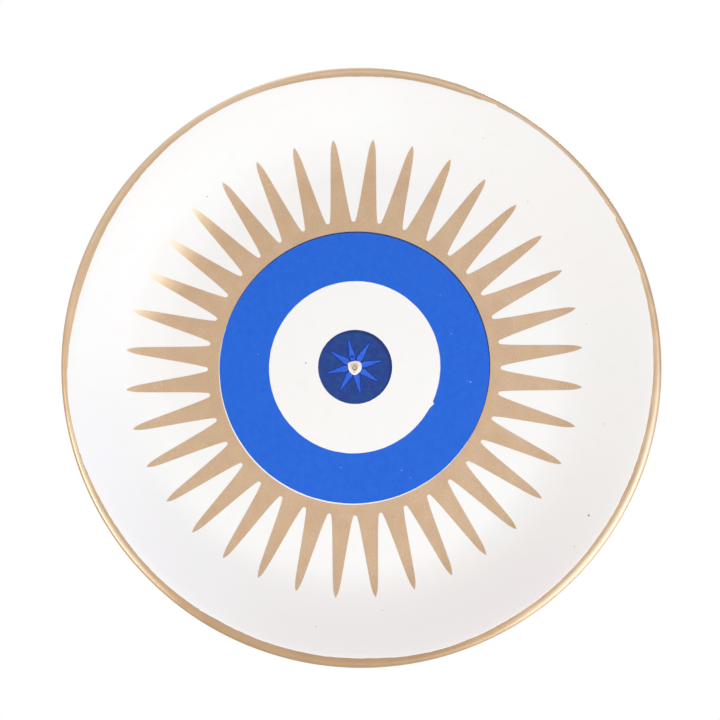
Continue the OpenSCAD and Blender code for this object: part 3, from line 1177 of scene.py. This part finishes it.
place(build_dish(), lacquer, "gold_lacquer", "plate", "dish")
place(build_coat(), white, "white_enamel", "plate", "white_enamel")
grit_specks = build_spots("enamel_grit", GRIT, (0, 0), COAT_T, 0.05, 40)
place(grit_specks, grit(), "white_enamel")
place(build_sunburst(), gold_print(), "gold_print", "plate", "gold_sunburst")
place(build_iris(), blue, "blue_print", "plate", "blue_ring")
place(build_overprint(), overlap, "blue_print")
dust_specks = build_spots("pale_dust", PALE_DUST, EYE, COAT_T + INK_T, 0.03, 80)
place(dust_specks, pale_dust(), "blue_print")
place(build_pupil(), navy, "navy_print", "plate", "pupil")
star_rays, star_edges = build_star()
place(star_rays, star_blue(), "light_blue_print", "plate", "star")
place(star_edges, star_edge(), "navy_print")
blot = build_spots("navy_blot", NAVY_BLOT, EYE, COAT_T + INK_T, 0.02, 90)
place(blot, overlap, "navy_print")
place(build_smear(), smear_ink(), "navy_print")
place(build_rivet(), rivet_alloy(), "rivet_alloy", "plate", "rivet_body")
place(build_pin(), broken_pin(), "steel", "plate", "rivet_mandrel")
place(build_collar(), chipped_white(), "white_enamel")
place(build_washer(), steel, "steel", "plate", "backing_washer")
place(build_strap(), strap_steel, "steel", "plate", "hanger_strap")
place(build_ring(), wire_steel, "steel", "ring", "hanging_ring")
place(build_pads(), pad_rubber(), "pad_rubber", "plate", "bumper_pads")
steel.on(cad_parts["rim_wire"])


# ---------------------------------------------------------------------------------------------
# Stage
# ---------------------------------------------------------------------------------------------


def build_floor():
    """Plain pale floor well under the hanging plate."""
    half, z = 10.0, -1.9
    corners = [(-half, -half, z), (half, -half, z), (half, half, z), (-half, half, z)]
    mesh = bpy.data.meshes.new("floor")
    mesh.from_pydata(corners, [], [(0, 1, 2, 3)])
    floor = bpy.data.objects.new("floor", mesh)
    bpy.context.scene.collection.objects.link(floor)
    f = Finish("floor_paper")
    cloud = f.noise(400, 2)
    f.paint(f.mix(cloud, srgb(232, 232, 230), srgb(238, 238, 236)))
    f.roughness(0.8)
    f.on(floor)


def add_softbox(name, off_axis, direction, distance, size, power, tint=(1, 1, 1), behind=False):
    """Light panel aimed at the plate. off_axis is from the viewer's line, both in degrees."""
    light = bpy.data.lights.new(name, "AREA")
    light.color = tint
    light.shape = "RECTANGLE"
    light.size, light.size_y = size
    light.energy = power
    lamp = bpy.data.objects.new(name, light)
    away, turn = math.radians(off_axis), math.radians(direction)
    side = math.sin(away)
    out = math.cos(away) if behind else -math.cos(away)
    lamp.location = distance * Vector((side * math.cos(turn), out, side * math.sin(turn)))
    lamp.rotation_mode = "QUATERNION"
    lamp.rotation_quaternion = lamp.location.to_track_quat("Z", "Y")
    lamp.visible_camera = False
    bpy.context.scene.collection.objects.link(lamp)


# Strength of the white surround as a light. The camera sees it at 1, which is pure white.
SURROUND_LIGHT = 0.436


def build_world():
    """White surround: pure white where the camera sees it, a little dimmer as a light."""
    world = bpy.data.worlds.new("white_surround")
    world.use_nodes = True
    tree = world.node_tree
    path = tree.nodes.new("ShaderNodeLightPath")
    background = tree.nodes["Background"]
    background.inputs["Color"].default_value = (1, 1, 1, 1)
    level = tree.nodes.new("ShaderNodeMapRange")
    level.inputs["To Min"].default_value = SURROUND_LIGHT
    level.inputs["To Max"].default_value = 1.0
    tree.links.new(path.outputs["Is Camera Ray"], level.inputs["Value"])
    tree.links.new(level.outputs["Result"], background.inputs["Strength"])
    bpy.context.scene.world = world


CAMERA_DISTANCE = 2.0
CAMERA_X = -0.0007
CAMERA_Z = 0.0039
LENS_MM = 199.3


def build_camera():
    """Square on to the plate from 2 m, which sits just below the middle of the picture."""
    camera = bpy.data.cameras.new("camera")
    camera.sensor_width = 36
    camera.lens = LENS_MM
    view = bpy.data.objects.new("camera", camera)
    view.location = (CAMERA_X, -CAMERA_DISTANCE, CAMERA_Z)
    view.rotation_euler = (math.pi / 2, 0, 0)
    bpy.context.scene.collection.objects.link(view)
    bpy.context.scene.camera = view


build_floor()
build_world()
add_softbox("key_softbox", 68, -38, 1.5, (1.8, 1.2), 15.5, tint=(0.92, 1.0, 1.05))
add_softbox("near_softbox", 22, -30, 1.5, (1.2, 1.2), 3.6, tint=(0.9, 1.0, 1.1))
add_softbox("right_softbox", 45, -22, 1.5, (1.3, 0.9), 2.9, tint=(1.02, 1.0, 1.3))
add_softbox("left_softbox", 52, 207, 1.5, (0.6, 0.6), 8.2, tint=(1.12, 1.0, 0.88))
add_softbox("rim_softbox", 100, 108, 1.5, (2.6, 0.9), 5.6, tint=(1.03, 1.0, 1.05))
add_softbox("back_softbox", 35, 60, 1.8, (0.9, 0.9), 12, behind=True)
build_camera()
bpy.context.scene.view_settings.view_transform = "Standard"
